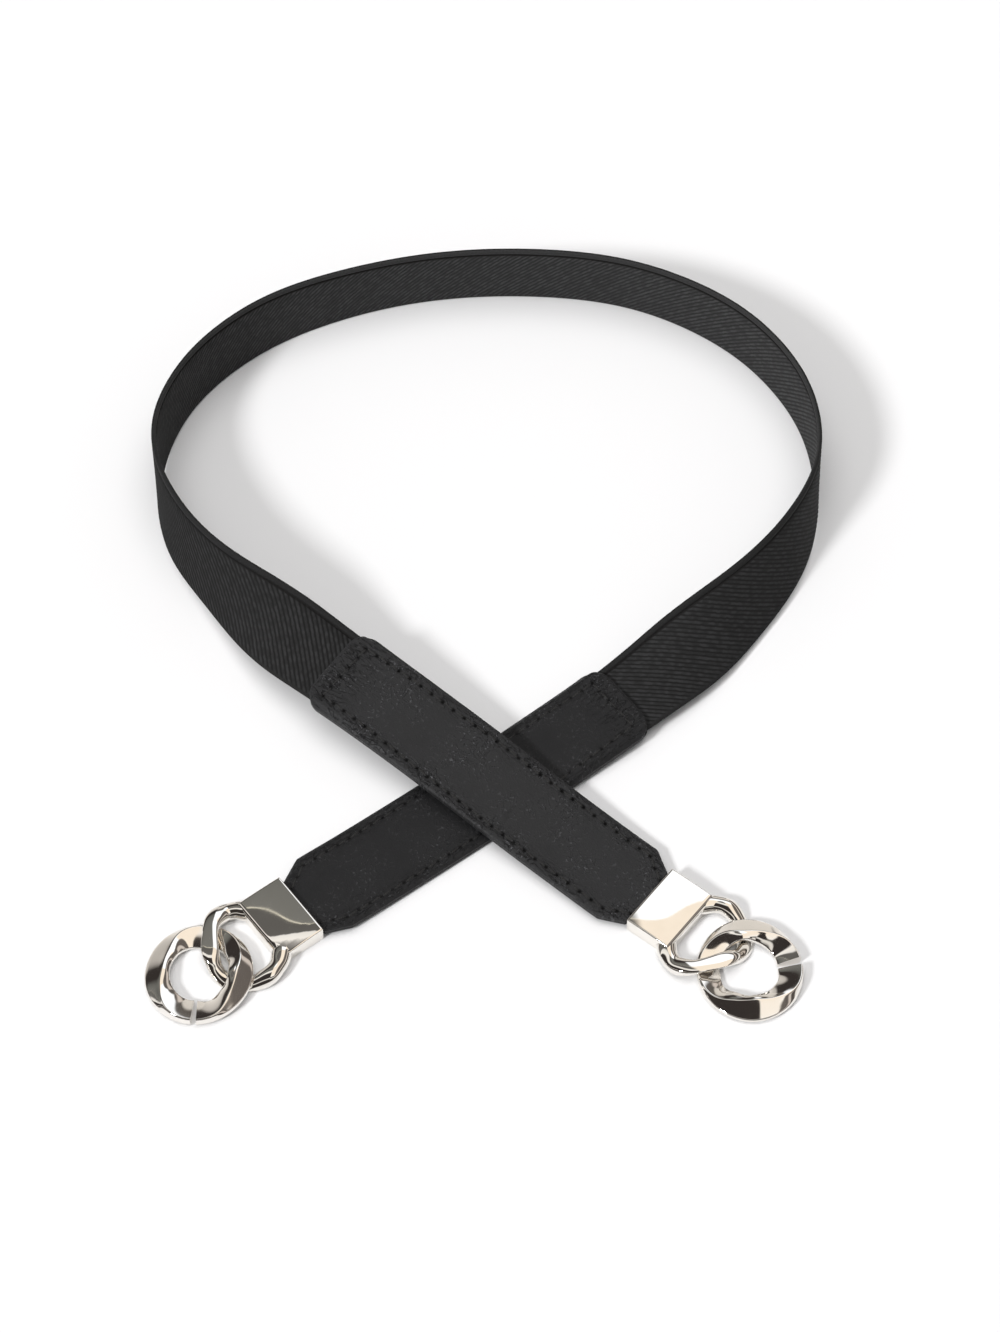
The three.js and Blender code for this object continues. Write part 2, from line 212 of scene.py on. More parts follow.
def wovenElastic():
    # Polyester elastic webbing, woven: slanting ribs, painted lighter on their ridges in short dashes,
    # partly the weave's broken texture and partly painted highlight, and darker between them as painted
    # shade. The plain woven edge is 1 mm wide at the bottom, and 2 mm wide at the top, past one more
    # groove, which is painted dark as shade. The outside is painted darker than the inside, which gets a
    # painted sheen, and its groove's painted shade is fainter.
    material, tree, shader = newMaterial("wovenElasticWebbing")
    pitch, shear = elasticLook["ribPitch"] * metre, elasticLook["ribShear"]
    dashSize = elasticLook["dash"] * metre
    ribsFade, ribsGone = (across * metre for across in elasticLook["ribsEnd"])
    grooveFade, grooveGone = (away * metre for away in elasticLook["grooveFade"])
    uv = addNode(tree, "UVMap", {}, uv_map="flat")
    place = addNode(tree, "SeparateXYZ", {0: uv})
    along, across = place.outputs[0], place.outputs[1]
    # the ribs, counted along the belt, and how high each place lies on its rib
    waver = addNode(tree, "TexNoise",
                    {"Vector": uv, "Scale": 1 / (elasticLook["waver"] * metre), "Detail": 1.0})
    ribAlong = addNode(tree, "Math", {0: along, 1: 1 / pitch}, operation="MULTIPLY")
    ribStart = addNode(tree, "Math", {0: waver, 1: 0.45, 2: ribAlong}, operation="MULTIPLY_ADD")
    phase = addNode(tree, "Math", {0: across, 1: shear / pitch, 2: ribStart}, operation="MULTIPLY_ADD")
    rib = addNode(tree, "Math", {0: phase}, operation="FLOOR")
    ridge = addNode(tree, "Math", {0: phase, 1: 0.5}, operation="PINGPONG")
    ridgeShare = addNode(tree, "MapRange", {0: ridge, 1: 0.06, 2: 0.36}, interpolation_type="SMOOTHSTEP")
    # the dashes along each rib, which differ from rib to rib
    runBack = addNode(tree, "Math", {0: across, 1: -1 / dashSize}, operation="MULTIPLY")
    run = addNode(tree, "Math", {0: along, 1: shear / dashSize, 2: runBack}, operation="MULTIPLY_ADD")
    ribRow = addNode(tree, "Math", {0: rib, 1: 3.7}, operation="MULTIPLY")
    dashPlace = addNode(tree, "CombineXYZ", {0: run, 1: ribRow})
    dash = addNode(tree, "TexNoise", {"Vector": dashPlace, "Scale": 1.0, "Detail": 1.0},
                   noise_dimensions="2D")
    dashShare = addNode(tree, "MapRange", {0: dash, 1: 0.36, 2: 0.64, 3: 0.35, 4: 0.9})
    # where the ribs give way to the plain edges, and the groove, which is painted dark as shade
    shifted = addNode(tree, "Math", {0: across, 1: elasticLook["ribsOff"] * metre}, operation="ADD")
    side = addNode(tree, "Math", {0: shifted}, operation="ABSOLUTE")
    ribbed = addNode(tree, "MapRange", {0: side, 1: ribsFade, 2: ribsGone, 3: 1.0, 4: 0.0})
    toGroove = addNode(tree, "Math", {0: across, 1: elasticLook["groove"] * metre}, operation="SUBTRACT")
    fromGroove = addNode(tree, "Math", {0: toGroove}, operation="ABSOLUTE")
    groove = addNode(tree, "MapRange", {0: fromGroove, 1: grooveFade, 2: grooveGone, 3: 0.95, 4: 0.0})
    # the ridges' dashes are painted highlights, with painted shade between the ribs
    ribHighlight = addNode(tree, "Math", {0: ridgeShare, 1: dashShare}, operation="MULTIPLY")
    lit = addNode(tree, "Math", {0: ribHighlight, 1: ribbed}, operation="MULTIPLY")
    threads = addNode(tree, "TexNoise", {"Vector": uv, "Scale": elasticLook["threads"], "Detail": 2.0})
    edgeShare = addNode(tree, "MapRange", {0: threads, 1: 0.3, 2: 0.7, 3: 0.15, 4: 0.45})
    plain = addNode(tree, "Math", {0: 1.0, 1: ribbed}, operation="SUBTRACT")
    share = addNode(tree, "Math", {0: plain, 1: edgeShare, 2: lit}, operation="MULTIPLY_ADD")
    faces = []
    # the outside's tones, then the inside's, which are lighter as a painted sheen
    for deep, bright, grooveShade in (("#181818", "#2e2e2f", 0.6), ("#242424", "#434344", 1.0)):
        cloth = addNode(tree, "Mix", {0: share, 6: colour(deep), 7: colour(bright)}, data_type="RGBA")
        # the groove painted near black: painted shade in a recess
        sunk = addNode(tree, "Math", {0: groove, 1: grooveShade}, operation="MULTIPLY")
        grooveShaded = addNode(tree, "Mix", {0: sunk, 6: cloth.outputs[2], 7: colour("#0c0a09")},
                          data_type="RGBA")
        faces.append(grooveShaded.outputs[2])
    # the inside takes the lighter tones: a painted sheen
    within = addNode(tree, "Attribute", {}, attribute_name="within")
    shade = addNode(tree, "Mix", {0: within.outputs["Fac"], 6: faces[0], 7: faces[1]}, data_type="RGBA")
    height = addNode(tree, "Math", {0: threads, 1: 0.35, 2: share}, operation="MULTIPLY_ADD")
    bump = addNode(tree, "Bump", {"Strength": 0.5, "Distance": 0.12 * metre, "Height": height})
    tree.links.new(shade.outputs[2], shader.inputs["Base Color"])
    tree.links.new(bump.outputs[0], shader.inputs["Normal"])
    shader.inputs["Roughness"].default_value = 0.8
    shader.inputs["Specular IOR Level"].default_value = 0.18
    return material


leatherLook = {
    "crease": 2.1,  # sizes of the embossed creases, the pores and the mottling
    "pore": 1.0,  # about three times a real pore, so that they show
    "patch": 14.0,
    "pucker": (5.0, 1.3),  # how long the puckers at the stitches are, and how far apart
    "relief": 0.26,
    "freshAndDim": ("#1f1f20", "#29292a"),  # the tones of the tab painted dimmer, and of the handled tab painted paler as painted light
    "handledAndLit": ("#272728", "#323233"),
}


def leatherette():
    # Polyurethane leather, embossed: fine creases, deeper where the sewing has pulled at it and on
    # the tab that has been handled, with small light flecks on them that are painted glints, most where
    # they are deepest. That tab is painted paler too, as painted light. Faint mottling, puckers painted
    # darker as shade, and needle holes painted black as shade.
    material, tree, shader = newMaterial("polyurethaneLeather")
    uv = addNode(tree, "UVMap", {}, uv_map="flat")
    pulled = addNode(tree, "Attribute", {}, attribute_name="pulled")
    handledAndLit = addNode(tree, "Attribute", {}, attribute_name="handledAndLit")
    holeShade = addNode(tree, "Attribute", {}, attribute_name="holeShade")
    crinkle = addNode(tree, "TexNoise",
                      {"Vector": uv, "Scale": 1 / (leatherLook["crease"] * metre), "Detail": 2.0,
                       "Distortion": 0.5})
    pores = addNode(tree, "TexNoise",
                    {"Vector": uv, "Scale": 1 / (leatherLook["pore"] * metre), "Detail": 3.0,
                     "Roughness": 0.6})
    patches = addNode(tree, "TexNoise",
                      {"Vector": uv, "Scale": 1 / (leatherLook["patch"] * metre), "Detail": 2.0})
    puckerLong, puckerApart = leatherLook["pucker"]
    drawn = addNode(tree, "Mapping",
                    {"Vector": uv, "Scale": (1 / (puckerLong * metre), 1 / (puckerApart * metre), 1.0)})
    gathers = addNode(tree, "TexNoise", {"Vector": drawn, "Scale": 1.0, "Detail": 1.0, "Distortion": 0.6})
    # creases and puckers are thin lines, where their noise crosses a level
    lines = []
    for noise, level, width in ((crinkle, 0.5, 0.05), (gathers, 0.47, 0.045)):
        away = addNode(tree, "Math", {0: noise, 1: level}, operation="SUBTRACT")
        fold = addNode(tree, "Math", {0: away}, operation="ABSOLUTE")
        line = addNode(tree, "MapRange", {0: fold, 1: 0.0, 2: width, 3: 1.0, 4: 0.0},
                       interpolation_type="SMOOTHSTEP")
        lines.append(line)
    crease, pucker = lines
    # creases come in patches, and are deeper where the leather is pulled or handled
    depth = addNode(tree, "MapRange", {0: patches, 1: 0.42, 2: 0.62, 3: 0.12, 4: 1.0})
    strain = addNode(tree, "MapRange", {0: pulled.outputs["Fac"], 3: 0.65, 4: 1.5})
    crumple = addNode(tree, "MapRange", {0: handledAndLit.outputs["Fac"], 3: 0.55, 4: 1.2})
    strained = addNode(tree, "Math", {0: strain, 1: crumple}, operation="MULTIPLY")
    deeper = addNode(tree, "Math", {0: depth, 1: strained}, operation="MULTIPLY")
    grain = addNode(tree, "Math", {0: crease, 1: deeper}, operation="MULTIPLY")
    puckered = addNode(tree, "Math", {0: pucker, 1: pulled.outputs["Fac"]}, operation="MULTIPLY")
    raised = addNode(tree, "Math", {0: pores, 1: 0.6, 2: grain}, operation="MULTIPLY_ADD")
    height = addNode(tree, "Math", {0: puckered, 1: -1.6, 2: raised}, operation="MULTIPLY_ADD")
    bump = addNode(tree, "Bump",
                   {"Strength": 1.0, "Distance": leatherLook["relief"] * metre, "Height": height})
    # colour: the mottled tone, painted shade in the puckers, painted glints on the creases, and the holes
    # painted black as shade
    tones = []
    for low, high in (leatherLook["freshAndDim"], leatherLook["handledAndLit"]):
        tone = addNode(tree, "Mix", {0: patches, 6: colour(low), 7: colour(high)}, data_type="RGBA")
        tones.append(tone.outputs[2])
    # the handled tab painted paler: painted light
    plain = addNode(tree, "Mix", {0: handledAndLit.outputs["Fac"], 6: tones[0], 7: tones[1]}, data_type="RGBA")
    # the puckers' creases painted darker, as shade
    puckerShade = addNode(tree, "Math", {0: puckered, 1: 0.6}, operation="MULTIPLY")
    shade = addNode(tree, "Mix", {0: puckerShade, 6: plain.outputs[2], 7: colour("#0b0b0c")}, data_type="RGBA")
    # light flecks on the creases: painted glints
    fleck = addNode(tree, "MapRange", {0: pores, 1: 0.52, 2: 0.62, 4: 0.85})
    creaseGlint = addNode(tree, "Math", {0: fleck, 1: grain}, operation="MULTIPLY")
    flecked = addNode(tree, "Mix", {0: creaseGlint, 6: shade.outputs[2], 7: colour("#68686b")}, data_type="RGBA")
    # needle holes painted black, as shade
    shadedHoles = addNode(tree, "Mix", {0: holeShade.outputs["Fac"], 6: flecked.outputs[2], 7: colour("#050505")},
                      data_type="RGBA")
    gloss = addNode(tree, "MapRange", {0: pores, 1: 0.3, 2: 0.7, 3: 0.38, 4: 0.52})
    tree.links.new(shadedHoles.outputs[2], shader.inputs["Base Color"])
    tree.links.new(gloss.outputs[0], shader.inputs["Roughness"])
    tree.links.new(bump.outputs[0], shader.inputs["Normal"])
    shader.inputs["Specular IOR Level"].default_value = 0.13
    return material


def sewingThread():
    # Bonded polyester thread, twisted: black and slightly shiny, with its twist 0.5 mm long.
    material, tree, shader = newMaterial("polyesterThread")
    bandWidth = 0.314  # of a wave texture at scale 1
    uv = addNode(tree, "UVMap", {}, uv_map="flat")
    turned = addNode(tree, "Mapping", {"Vector": uv, "Rotation": (0.0, 0.0, 0.9)})
    twist = addNode(tree, "TexWave", {"Vector": turned, "Scale": bandWidth / (0.5 * metre)})
    # the twist's stripes, lighter along each ply as a painted highlight on the black thread
    shade = addNode(tree, "Mix", {0: twist.outputs[1], 6: colour("#101010"), 7: colour("#242425")},
                    data_type="RGBA")
    bump = addNode(tree, "Bump", {"Strength": 0.6, "Distance": 0.1 * metre, "Height": twist.outputs[1]})
    tree.links.new(shade.outputs[2], shader.inputs["Base Color"])
    tree.links.new(bump.outputs[0], shader.inputs["Normal"])
    shader.inputs["Roughness"].default_value = 0.5
    return material


def platedZinc(name, warmth, sheen):
    # Zinc alloy, die cast, polished and nickel plated: a warm white mirror with polishing swirls,
    # drawn 2.5 mm across because real hairlines would not show, and slightly duller patches of
    # 6 mm from handling.
    material, tree, shader = newMaterial(name)
    place = addNode(tree, "TexCoord", {})
    swirls = addNode(tree, "TexNoise",
                     {"Vector": place.outputs["Object"], "Scale": 1 / (2.5 * metre), "Detail": 5.0})
    patches = addNode(tree, "TexNoise",
                      {"Vector": place.outputs["Object"], "Scale": 1 / (6 * metre), "Detail": 2.0})
    gloss = addNode(tree, "MapRange", {0: patches, 1: 0.3, 2: 0.7, 3: sheen[0], 4: sheen[1]})
    shade = addNode(tree, "Mix", {0: patches, 6: colour(warmth), 7: colour("#f2efea")}, data_type="RGBA")
    bump = addNode(tree, "Bump", {"Strength": 0.02, "Distance": 0.05 * metre, "Height": swirls})
    tree.links.new(shade.outputs[2], shader.inputs["Base Color"])
    tree.links.new(gloss.outputs[0], shader.inputs["Roughness"])
    tree.links.new(bump.outputs[0], shader.inputs["Normal"])
    shader.inputs["Metallic"].default_value = 1.0
    return material


elasticCloth = wovenElastic()
leather = leatherette()
thread = sewingThread()
castPlating = platedZinc("nickelPlatedZincCasting", "#e9e5de", (0.01, 0.035))
linkPlating = platedZinc("nickelPlatedCurbLink", "#ece8e2", (0.04, 0.1))  # barrelled, so a little duller
print("materials made")


# making pieces
def layGrid(bm, rows, columns, placeOf):
    # a grid whose points are moved one by one to where placeOf(row, column) says
    bmesh.ops.create_grid(bm, x_segments=columns, y_segments=rows, size=0.5)
    for vert in bm.verts:
        column = round((vert.co.x + 0.5) * columns)
        row = round((vert.co.y + 0.5) * rows)
        vert.co = placeOf(row, column)


def fillHoles(bm):
    bmesh.ops.holes_fill(bm, edges=[edge for edge in bm.edges if edge.is_boundary])


def faceOut(bm):
    bmesh.ops.recalc_face_normals(bm, faces=bm.faces[:])


def rolledGrid(rows, columns, placeOf):
    # a grid rolled up to an open tube, in which the last column is merged into the first
    bm = bmesh.new()
    layGrid(bm, rows, columns, lambda row, column: placeOf(row, column % columns))
    bmesh.ops.remove_doubles(bm, verts=bm.verts[:], dist=1e-4)
    return bm


def cutAt(bm, place, normal, trim=False):
    # cuts the faces along a plane, or trims away what is beyond it and closes the cut
    bmesh.ops.bisect_plane(bm, geom=bm.verts[:] + bm.edges[:] + bm.faces[:], dist=1e-5,
                           plane_co=place, plane_no=normal, clear_outer=trim)
    if trim:
        fillHoles(bm)


def meshFrom(bm, name):
    mesh = bpy.data.meshes.new(name)
    bm.to_mesh(mesh)
    bm.free()
    return mesh


def addPiece(name, mesh, material, replaced=None, creaseAngle=35):
    mesh.materials.clear()
    mesh.materials.append(material)
    mesh.shade_smooth()
    mesh.set_sharp_from_angle(angle=math.radians(creaseAngle))
    piece = bpy.data.objects.new(name, mesh)
    scene.collection.objects.link(piece)
    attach(piece, "root")
    if replaced:
        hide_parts(replaced)
    return piece


# elastic band
# one rib, then the band's section: its top edge and its bottom edge
ribShape = [(0.0, 0.0), (0.12, 0.5), (0.3, 1.0), (0.62, 0.95), (0.8, 0.55)]  # shares of pitch and height
bandEdge = [  # millimetres across, half the thickness, and how much the ribs show there
    (12.5, 0.0, 0), (12.42, 0.36, 0), (12.15, 0.6, 0), (11.6, 0.68, 0), (10.8, 0.66, 0), (10.55, 0.4, 0),
    (10.25, 0.24, 0), (10.0, 0.4, 0.2), (9.7, 0.56, 1), (6.6, 0.56, 1), (3.3, 0.56, 1), (0.0, 0.56, 1),
]
bandFoot = [
    (12.5, 0.0, 0), (12.42, 0.36, 0), (12.15, 0.58, 0), (11.85, 0.58, 0), (11.5, 0.56, 1), (10.0, 0.56, 1),
    (6.6, 0.56, 1), (3.3, 0.56, 1),
]
bandFace = bandEdge + [(-across, half, ribbed) for across, half, ribbed in bandFoot[::-1]]
bandLoop = bandFace + [(across, -half, -ribbed) for across, half, ribbed in bandFace[-2:0:-1]]

# the rows slant with the ribs, so they start before the band and end after it
slantReach = elasticLook["ribShear"] * elasticLook["width"] / 2
firstRib = math.floor((elasticLook["start"] - slantReach) / elasticLook["ribPitch"]) - 1
lastRib = math.ceil((elasticLook["end"] + slantReach) / elasticLook["ribPitch"]) + 1
ribRows = [((rib + share) * elasticLook["ribPitch"], height)
           for rib in range(firstRib, lastRib) for share, height in ribShape]


def bandPlace(row, column):
    across, outward, ribbed = bandLoop[column]
    at, height = ribRows[row]
    return (at - elasticLook["ribShear"] * across, across,
            outward + ribbed * height * elasticLook["ribHeight"])


bm = rolledGrid(len(ribRows) - 1, len(bandLoop), bandPlace)
cutAt(bm, (elasticLook["start"], 0, 0), (-1, 0, 0), trim=True)
cutAt(bm, (elasticLook["end"], 0, 0), (1, 0, 0), trim=True)
faceOut(bm)
bandMesh = meshFrom(bm, "elasticBandWeave")
markPoints(bandMesh, "within", np.where(pointsOf(bandMesh)[:, 2] < 0, 1.0, 0.0))
keepFlatPlaces(bandMesh)
bendOntoBelt(bandMesh)
band = addPiece("elasticBandWeave", bandMesh, elasticCloth, "elastic_band", 60)
print("elastic woven:", len(bandMesh.polygons), "faces")

# leather tabs
tabLook = {
    "leather": 1.2,
    "seamGap": 0.05,  # half the gap between the layers, where they meet and over the elastic
    "bandGap": 1.1,
    "bandEnd": (23.0, 40.0),  # the layers close up between these distances from the sewn end,
    "bandSide": (12.65, 13.5),  # and beside the elastic between these distances from its middle
    "cornerRadius": 6.4,
    "taper": 8.0,
    "mouthNear": 10.7,  # half widths at the mouth, towards the belt's bottom and top edges
    "mouthFar": 9.4,
    "grip": 9.0,
    "gripHalf": 10.0,
    "seamInset": 3.0,
    "sewnInset": 4.3,  # the seam moves inwards over the last part, where the elastic is caught
    "sewnPart": 50.0,
    "lastSeam": 5.2,  # from the seam across to the tab's end
    "stitchPitch": 4.0,
    "rounding": (0.5, 0.55),  # depth and reach of the rounded edges
    "channel": (0.12, 1.3),  # the same of the trough that the seam lies in
    "hole": (0.5, 0.68),  # the same of a needle hole
    "lip": (0.04, 1.25, 0.4),  # height of the lip round a hole, how far out it lies, and its reach
    "pull": (4.2, 7.0),  # how far in the leather is puckered, from the sides and round the last seam
}
# For each tab: its clamp's mouth along the belt and the direction inwards, the tab's size, how hard
# the sewing and the hand have marked it, with the handled tab painted paler as painted light, then
# the clamp's place in plan and its link and ring.
tabEnds = [
    {"side": "left", "mouth": 0.0, "inward": 1.0, "length": 119.2, "halfWidth": 13.9,
     "piercing": 0.65, "handledAndLit": 0.0, "x": -53.0, "y": -99.0, "heading": 217.0,
     "linkAside": 0.0, "ringAway": 35.7, "ringAside": 0.0, "ringTurn": -134.0,
     "ringStretch": (1.06, 1.0), "ringSlit": 1.3},
    {"side": "right", "mouth": beltLength, "inward": -1.0, "length": 119.8, "halfWidth": 14.3,
     "piercing": 0.95, "handledAndLit": 1.0, "x": 47.1, "y": -96.0, "heading": 322.0,
     "linkAside": -1.0, "ringAway": 36.5, "ringAside": -1.3, "ringTurn": -137.0,
     "ringStretch": (1.0, 1.05), "ringSlit": 1.8},
]


def tabHalf(end, distance, farSide):
    # half the tab's width on one side, at distances from the clamp's mouth
    mouth = np.where(farSide, tabLook["mouthFar"], tabLook["mouthNear"])
    half = mouth + (end["halfWidth"] - mouth) * np.clip(distance / tabLook["taper"], 0.0, 1.0)
    half = np.where(distance < 0.3, tabLook["gripHalf"], half)  # inside the clamp
    radius = tabLook["cornerRadius"]
    inset = np.clip(radius - (end["length"] - distance), 0.0, radius)
    return half - radius + np.sqrt(radius ** 2 - inset ** 2)


def seamHoles(end):
    # needle holes along both long sides and across the sewn end
    inset, holeShade, full = tabLook["seamInset"], tabLook["sewnInset"], end["halfWidth"]
    first, wide = 0.8, tabLook["taper"] + 0.4  # just outside the mouth, and just past the taper
    turn, last = end["length"] - tabLook["sewnPart"], end["length"] - tabLook["lastSeam"]
    corners = [
        (first, inset - tabLook["mouthNear"]), (wide, inset - full), (turn, inset - full),
        (last, holeShade - full), (last, full - holeShade),
        (turn, full - inset), (wide, full - inset), (first, tabLook["mouthFar"] - inset),
    ]
    holes = []
    for (x0, y0), (x1, y1) in zip(corners, corners[1:]):
        count = max(1, round(math.hypot(x1 - x0, y1 - y0) / tabLook["stitchPitch"]))
        holes += [(x0 + (x1 - x0) * i / count, y0 + (y1 - y0) * i / count) for i in range(count)]
    return np.array(holes + corners[-1:])


for end in tabEnds:
    end["holes"] = seamHoles(end)
    end["seam"] = np.array([end["holes"][:-1], end["holes"][1:]])


def bell(distance, reach):
    return np.exp(-(distance / reach) ** 2)


def leatherRelief(end, distance, across):
    # how far the leather's outer face is sunk below its full height, in millimetres, and from 0
    # to 1 how deep it is in a needle hole, where it is painted black as shade, and how hard the sewing
    # pulls at it
    half = tabHalf(end, distance, across > 0)
    toSide = half - np.abs(across)
    toEnd = end["length"] - distance
    toEdge = np.minimum(toSide, toEnd)
    roundingDepth, roundingReach = tabLook["rounding"]
    rounding = roundingDepth * bell(np.maximum(toEdge, 0.0), roundingReach)
    place = np.stack([distance, across], axis=1)
    start, finish = end["seam"]
    run = finish - start
    toStart = place[:, None, :] - start
    share = np.clip((toStart * run).sum(2) / (run * run).sum(1), 0.0, 1.0)
    seamDistance = np.sqrt(((toStart - share[..., None] * run) ** 2).sum(2)).min(1)
    channelDepth, channelReach = tabLook["channel"]
    channel = channelDepth * bell(seamDistance, channelReach)
    holeDistance = np.sqrt(((place[:, None, :] - end["holes"]) ** 2).sum(2)).min(1)
    holeDepth, holeReach = tabLook["hole"]
    holes = end["piercing"] * bell(holeDistance, holeReach)
    lipHeight, lipAway, lipReach = tabLook["lip"]
    lips = lipHeight * bell(holeDistance - lipAway, lipReach)
    pullSide, pullEnd = tabLook["pull"]
    pulled = np.maximum(bell(toSide, pullSide), bell(toEnd - tabLook["lastSeam"], pullEnd))
    pulled = end["piercing"] * (pulled * smoothstep(toEdge, 0.2, 1.2))  # but not at the very edge
    black = np.clip(2.0 * holes - 0.4, 0.0, 1.0)  # well inside a hole, which is painted black there as shade
    return rounding + channel + holeDepth * holes - lips, black, pulled


def layerOffset(end, distance, across):
    # from the tab's middle out to a layer's inner face
    ramp = smoothstep(end["length"] - distance, *tabLook["bandEnd"])
    edge = smoothstep(np.abs(across), *tabLook["bandSide"])
    return tabLook["seamGap"] + (tabLook["bandGap"] - tabLook["seamGap"]) * (1 - ramp) * (1 - edge)


# the rows of a layer's grid near the sewn end, and its columns from a side, closest at the seams
endRows = [6.6, 6.2, 5.8, 5.4, 5.0, 4.6, 4.1, 3.5, 2.9, 2.4, 2.0, 1.6, 1.2, 0.85, 0.55, 0.3, 0.12, 0.0]
sideColumns = np.array([
    0.0, 0.12, 0.3, 0.55, 0.9, 1.3, 1.7, 2.05, 2.35, 2.6, 2.85, 3.15, 3.5, 3.8, 4.1, 4.4, 4.8,
    5.5, 6.4, 7.4, 8.5, 9.6, 10.7, 11.8, 12.7,
]) / 13.5  # as shares of half a tab
tabColumns = np.concatenate([sideColumns - 1, [0.0], 1 - sideColumns[::-1]])
mouthRows = [-tabLook["grip"], -4.0, 0.0, 0.2, 0.45]
longRows = {"from": 0.9, "toEnd": 7.0, "count": 246}


def tabLayer(end, layerSide):
    middleRows = np.linspace(longRows["from"], end["length"] - longRows["toEnd"], longRows["count"])
    tabRows = np.array(mouthRows + list(middleRows) + [end["length"] - place for place in endRows])
    bm = bmesh.new()
    layGrid(bm, len(tabRows) - 1, len(tabColumns) - 1,
            lambda row, column: (tabRows[row], tabColumns[column], 0))
    bmesh.ops.solidify(bm, geom=bm.faces[:], thickness=1.0)
    faceOut(bm)
    mesh = meshFrom(bm, f"{end['side']}TabLayer")
    distance, share, shell = pointsOf(mesh).T
    outer = np.abs(shell) > 0.5
    across = share * tabHalf(end, distance, share > 0)
    inner = layerOffset(end, distance, across)
    sunk, shadedHoles, pulled = leatherRelief(end, distance, across)
    outward = np.where(outer, inner + tabLook["leather"] - sunk, inner)
    placed = np.stack([end["mouth"] + end["inward"] * distance, across, layerSide * outward], axis=1)
    mesh.vertices.foreach_set("co", placed.ravel())
    # the needle holes, painted black as shade
    markPoints(mesh, "holeShade", shadedHoles * outer)
    markPoints(mesh, "pulled", pulled)
    # how handled the tab is, which also paints it paler as painted light
    markPoints(mesh, "handledAndLit", np.full(len(pulled), end["handledAndLit"]))
    bm = bmesh.new()
    bm.from_mesh(mesh)
    faceOut(bm)
    bm.to_mesh(mesh)
    bm.free()
    keepFlatPlaces(mesh)
    bendOntoBelt(mesh)
    return mesh


stitchLook = {
    "sunk": 0.2,  # how far a thread's middle lies below the leather's full height
    "slant": 0.12,  # radians to the seam
    "half": (0.42, 0.34, 0.24),  # half lengths: along, as a share of the way between holes, across and up
}


def tabStitches(end):
    # threads between the needle holes, on both faces of the tab
    long, wide, high = stitchLook["half"]
    lift = tabLook["leather"] - stitchLook["sunk"]
    bm = bmesh.new()
    for layerSide in (1, -1):
        for (x0, y0), (x1, y1) in zip(*end["seam"]):
            middle = np.array([[(x0 + x1) / 2], [(y0 + y1) / 2]])
            surface = float(layerOffset(end, middle[0], middle[1])[0]) + lift
            run = math.hypot(x1 - x0, y1 - y0)
            slant = math.atan2(y1 - y0, x1 - x0) + stitchLook["slant"]
            place = Matrix.Translation((middle[0, 0], middle[1, 0], layerSide * surface))
            place = place @ Matrix.Rotation(slant, 4, "Z") @ Matrix.Diagonal((run * long, wide, high, 1))
            bmesh.ops.create_uvsphere(bm, u_segments=8, v_segments=6, radius=1.0,
                                      matrix=place @ Matrix.Rotation(math.pi / 2, 4, "Y"))
    for vert in bm.verts:
        vert.co.x = end["mouth"] + end["inward"] * vert.co.x
    faceOut(bm)
    mesh = meshFrom(bm, f"{end['side']}TabStitches")
    keepFlatPlaces(mesh)
    bendOntoBelt(mesh)
    return mesh


for end in tabEnds:
    side = end["side"]
    addPiece(f"{side}TabFace", tabLayer(end, 1), leather, f"{side}_tab_face", 40)
    addPiece(f"{side}TabLining", tabLayer(end, -1), leather, f"{side}_tab_lining", 40)
    addPiece(f"{side}TabStitches", tabStitches(end), thread)
print("tabs cut and stitched")

# clamps with their half links
clampLook = {
    "length": 15.0,
    "width": 22.0,
    "mouthHeight": 5.5,
    "frontHeight": 5.1,
    "edge": 0.3,
    "chamfer": 0.75,  # along the front of the top
    "pocket": (9.5, 20.6, 3.2, 2.6),  # depth, width, height and middle height
    "topFrom": 4.3,  # the polished top is what lies above this height
    "cuts": 15,  # each way across the top, so that it can carry its faint waves
    "cutMargin": 0.6,
    "flat": 5.3,  # the height to which the half link is pressed
    "domeAlong": 0.0049,  # how fast the polished top's slope turns, in radians for each millimetre
    "domeAcross": 0.0025,
    "bevelSlope": 0.17,  # the left clamp's top is ground down towards the viewer, most at its front
    "bevelStart": 7.5,
    "bevelTurn": 0.5,
    "bevelBlend": 0.4,
    "bow": {"left": (0.0, 0.0047), "right": (0.0083, 0.0052)},  # faint waves along the top's diagonal
    "toViewer": (0.61, 0.79),  # away from the mouth, and towards the clamp's nearer side
}
linkCourse = np.array([  # the half link's middle line: away from the mouth, aside, and lift
    (12.6, 8.2, 0), (15.5, 11.0, 0), (19.4, 12.6, 0), (23.6, 12.0, -0.5), (27.4, 9.9, -1),
    (30.2, 6.2, -0.95), (31.1, 2.0, -0.25), (29.7, -2.8, 0.85), (26.8, -7.2, 1), (23.5, -10.7, 0.65),
    (19.2, -12.0, 0.05), (15.4, -10.6, 0), (12.8, -8.0, 0),
])
linkWire = {
    "rows": 96,
    "columns": 32,
    "root": (5.7, 4.6),  # width and depth of the wire at the clamp, and where it is thin
    "thin": (4.9, 3.9),
    "thinning": (18.0, 24.5),  # it thins between these distances from the mouth
    "middle": 2.35,  # height of the middle line, and what a lift of 1 adds to it
    "lift": 2.5,
    "bulge": 12.4,  # the smaller, the more the wire rolls over as it lifts
    "topStart": 3.9,  # the wire's top and underside are pressed flat past these heights
    "lowStart": 1.6,
    "ripple": 0.07,  # how much it thickens and thins, how often, and from where
    "ripples": 5.3,
    "rippleStart": 0.7,
}


